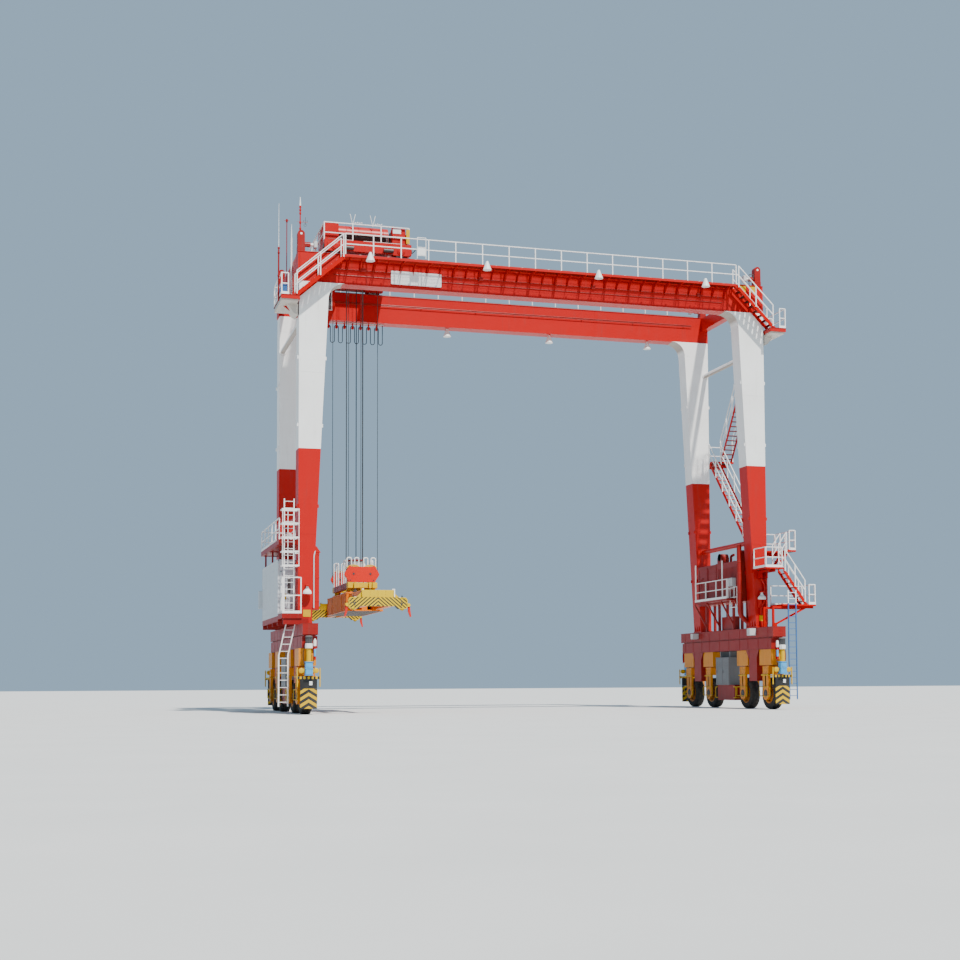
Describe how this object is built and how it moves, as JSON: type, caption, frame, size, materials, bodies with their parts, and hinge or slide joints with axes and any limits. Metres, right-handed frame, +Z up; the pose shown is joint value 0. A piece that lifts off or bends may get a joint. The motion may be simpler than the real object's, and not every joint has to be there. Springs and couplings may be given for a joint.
{
  "type": "rubber tyred gantry crane",
  "caption": "Rubber tyred gantry crane with a travelling trolley, hanging operator cabin, rope hoist, telescopic container spreader and steerable wheels under two sills.",
  "frame": {"origin": "middle of the footprint, on the ground under the tyres", "axes": "+X along the girders away from the truck lane, +Y along the crane's travel, +Z up"},
  "size_m": [26.86, 12.205, 24.47],
  "materials": {
    "structure_red": "semi gloss red paint",
    "structure_white": "semi gloss white paint, red below",
    "railing_white": "white paint",
    "galvanised_grey": "galvanised and grey painted steel",
    "panel_grey": "light grey panel paint",
    "bare_steel": "worn steel",
    "cable_rubber": "matt black sheath",
    "bogie_orange": "orange yellow paint with rust",
    "tyre_rubber": "dusty black rubber",
    "cabin_glass": "tinted glass",
    "rope_steel": "greased wire rope",
    "spreader_yellow": "worn yellow paint",
    "flipper_orange": "red orange paint"
  },
  "bodies": {
    "portal": {"front_girder": "structure_red", "rear_girder": "structure_red", "girder_end_ties": "structure_red", "left_front_leg": "structure_white", "left_rear_leg": "structure_white", "right_front_leg": "structure_white", "right_rear_leg": "structure_white", "left_sill_beam": "structure_red", "right_sill_beam": "structure_red", "leg_tie_tubes": "structure_white", "trolley_rails": "bare_steel", "end_stop_posts": "structure_red", "upper_walkways": "structure_red", "upper_railings": "railing_white", "upper_stairs": "structure_red", "right_stairs": "structure_red", "lower_railings": "railing_white", "ladders": "galvanised_grey", "electrical_house": "panel_grey", "house_frame": "structure_red", "engine_house": "structure_red", "engine_deck": "structure_red", "service_cabinets": "galvanised_grey", "floodlights": "galvanised_grey", "masts": "galvanised_grey", "festoon_cable": "cable_rubber", "slewing_heads": "bogie_orange"},
    "left_steering_1": {"left_fork_1": "bogie_orange"},
    "left_road_wheel_1": {"left_wheel_1": "tyre_rubber"},
    "left_steering_2": {"left_fork_2": "bogie_orange"},
    "left_road_wheel_2": {"left_wheel_2": "tyre_rubber"},
    "left_steering_3": {"left_fork_3": "bogie_orange"},
    "left_road_wheel_3": {"left_wheel_3": "tyre_rubber"},
    "left_steering_4": {"left_fork_4": "bogie_orange"},
    "left_road_wheel_4": {"left_wheel_4": "tyre_rubber"},
    "right_steering_1": {"right_fork_1": "bogie_orange"},
    "right_road_wheel_1": {"right_wheel_1": "tyre_rubber"},
    "right_steering_2": {"right_fork_2": "bogie_orange"},
    "right_road_wheel_2": {"right_wheel_2": "tyre_rubber"},
    "right_steering_3": {"right_fork_3": "bogie_orange"},
    "right_road_wheel_3": {"right_wheel_3": "tyre_rubber"},
    "right_steering_4": {"right_fork_4": "bogie_orange"},
    "right_road_wheel_4": {"right_wheel_4": "tyre_rubber"},
    "trolley": {"trolley_frame": "structure_red", "trolley_wheels": "bare_steel", "hoist_machinery": "bare_steel", "machinery_covers": "structure_red", "trolley_railing": "railing_white", "operator_cabin": "structure_red", "cabin_glazing": "cabin_glass", "hoist_ropes": "rope_steel"},
    "load_gear": {"head_block": "spreader_yellow", "spreader_frame": "spreader_yellow"},
    "front_slide": {"front_telescope": "spreader_yellow"},
    "rear_slide": {"rear_telescope": "spreader_yellow"},
    "left_front_guide_arm": {"left_front_flipper": "flipper_orange"},
    "right_front_guide_arm": {"right_front_flipper": "flipper_orange"},
    "left_rear_guide_arm": {"left_rear_flipper": "flipper_orange"},
    "right_rear_guide_arm": {"right_rear_flipper": "flipper_orange"}
  },
  "joints": [
    {"name": "left_steer_1", "type": "hinge", "parent": "portal", "child": "left_steering_1", "pos_m": [-12.205, -4.81, 2.4], "axis": [0, 0, 1], "range_deg": [0, 90]},
    {"name": "left_roll_1", "type": "hinge", "parent": "left_steering_1", "child": "left_road_wheel_1", "pos_m": [-12.205, -4.81, 0.8], "axis": [1, 0, 0], "continuous": true},
    {"name": "left_steer_2", "type": "hinge", "parent": "portal", "child": "left_steering_2", "pos_m": [-12.205, -2.16, 2.4], "axis": [0, 0, 1], "range_deg": [0, 90]},
    {"name": "left_roll_2", "type": "hinge", "parent": "left_steering_2", "child": "left_road_wheel_2", "pos_m": [-12.205, -2.16, 0.8], "axis": [1, 0, 0], "continuous": true},
    {"name": "left_steer_3", "type": "hinge", "parent": "portal", "child": "left_steering_3", "pos_m": [-12.205, 2.16, 2.4], "axis": [0, 0, -1], "range_deg": [0, 90]},
    {"name": "left_roll_3", "type": "hinge", "parent": "left_steering_3", "child": "left_road_wheel_3", "pos_m": [-12.205, 2.16, 0.8], "axis": [1, 0, 0], "continuous": true},
    {"name": "left_steer_4", "type": "hinge", "parent": "portal", "child": "left_steering_4", "pos_m": [-12.205, 4.81, 2.4], "axis": [0, 0, -1], "range_deg": [0, 90]},
    {"name": "left_roll_4", "type": "hinge", "parent": "left_steering_4", "child": "left_road_wheel_4", "pos_m": [-12.205, 4.81, 0.8], "axis": [1, 0, 0], "continuous": true},
    {"name": "right_steer_1", "type": "hinge", "parent": "portal", "child": "right_steering_1", "pos_m": [11.265, -4.81, 2.4], "axis": [0, 0, -1], "range_deg": [0, 90]},
    {"name": "right_roll_1", "type": "hinge", "parent": "right_steering_1", "child": "right_road_wheel_1", "pos_m": [11.265, -4.81, 0.8], "axis": [1, 0, 0], "continuous": true},
    {"name": "right_steer_2", "type": "hinge", "parent": "portal", "child": "right_steering_2", "pos_m": [11.265, -2.16, 2.4], "axis": [0, 0, -1], "range_deg": [0, 90]},
    {"name": "right_roll_2", "type": "hinge", "parent": "right_steering_2", "child": "right_road_wheel_2", "pos_m": [11.265, -2.16, 0.8], "axis": [1, 0, 0], "continuous": true},
    {"name": "right_steer_3", "type": "hinge", "parent": "portal", "child": "right_steering_3", "pos_m": [11.265, 2.16, 2.4], "axis": [0, 0, 1], "range_deg": [0, 90]},
    {"name": "right_roll_3", "type": "hinge", "parent": "right_steering_3", "child": "right_road_wheel_3", "pos_m": [11.265, 2.16, 0.8], "axis": [1, 0, 0], "continuous": true},
    {"name": "right_steer_4", "type": "hinge", "parent": "portal", "child": "right_steering_4", "pos_m": [11.265, 4.81, 2.4], "axis": [0, 0, 1], "range_deg": [0, 90]},
    {"name": "right_roll_4", "type": "hinge", "parent": "right_steering_4", "child": "right_road_wheel_4", "pos_m": [11.265, 4.81, 0.8], "axis": [1, 0, 0], "continuous": true},
    {"name": "trolley_travel", "type": "slide", "parent": "portal", "child": "trolley", "axis": [1, 0, 0], "range_m": [-0.2, 17]},
    {"name": "hoist", "type": "slide", "parent": "trolley", "child": "load_gear", "axis": [0, 0, 1], "range_m": [-4.1, 13.4], "deforming": ["hoist_ropes"]},
    {"name": "front_extension", "type": "slide", "parent": "load_gear", "child": "front_slide", "axis": [0, 1, 0], "range_m": [0, 3.05]},
    {"name": "rear_extension", "type": "slide", "parent": "load_gear", "child": "rear_slide", "axis": [0, -1, 0], "range_m": [0, 3.05]},
    {"name": "left_front_flip", "type": "hinge", "parent": "front_slide", "child": "left_front_guide_arm", "pos_m": [-10.5095, -5.9925, 4.97], "axis": [0, 1, 0], "range_deg": [0, 180]},
    {"name": "right_front_flip", "type": "hinge", "parent": "front_slide", "child": "right_front_guide_arm", "pos_m": [-7.6305, -5.9925, 4.97], "axis": [0, -1, 0], "range_deg": [0, 180]},
    {"name": "left_rear_flip", "type": "hinge", "parent": "rear_slide", "child": "left_rear_guide_arm", "pos_m": [-10.5095, 5.9925, 4.97], "axis": [0, 1, 0], "range_deg": [0, 180]},
    {"name": "right_rear_flip", "type": "hinge", "parent": "rear_slide", "child": "right_rear_guide_arm", "pos_m": [-7.6305, 5.9925, 4.97], "axis": [0, -1, 0], "range_deg": [0, 180]}
  ],
  "couplings": [
    {"joint": "left_steer_2", "follows": "left_steer_1", "ratio": 1},
    {"joint": "left_steer_3", "follows": "left_steer_4", "ratio": 1},
    {"joint": "right_steer_2", "follows": "right_steer_1", "ratio": 1},
    {"joint": "right_steer_3", "follows": "right_steer_4", "ratio": 1},
    {"joint": "rear_extension", "follows": "front_extension", "ratio": 1}
  ]
}
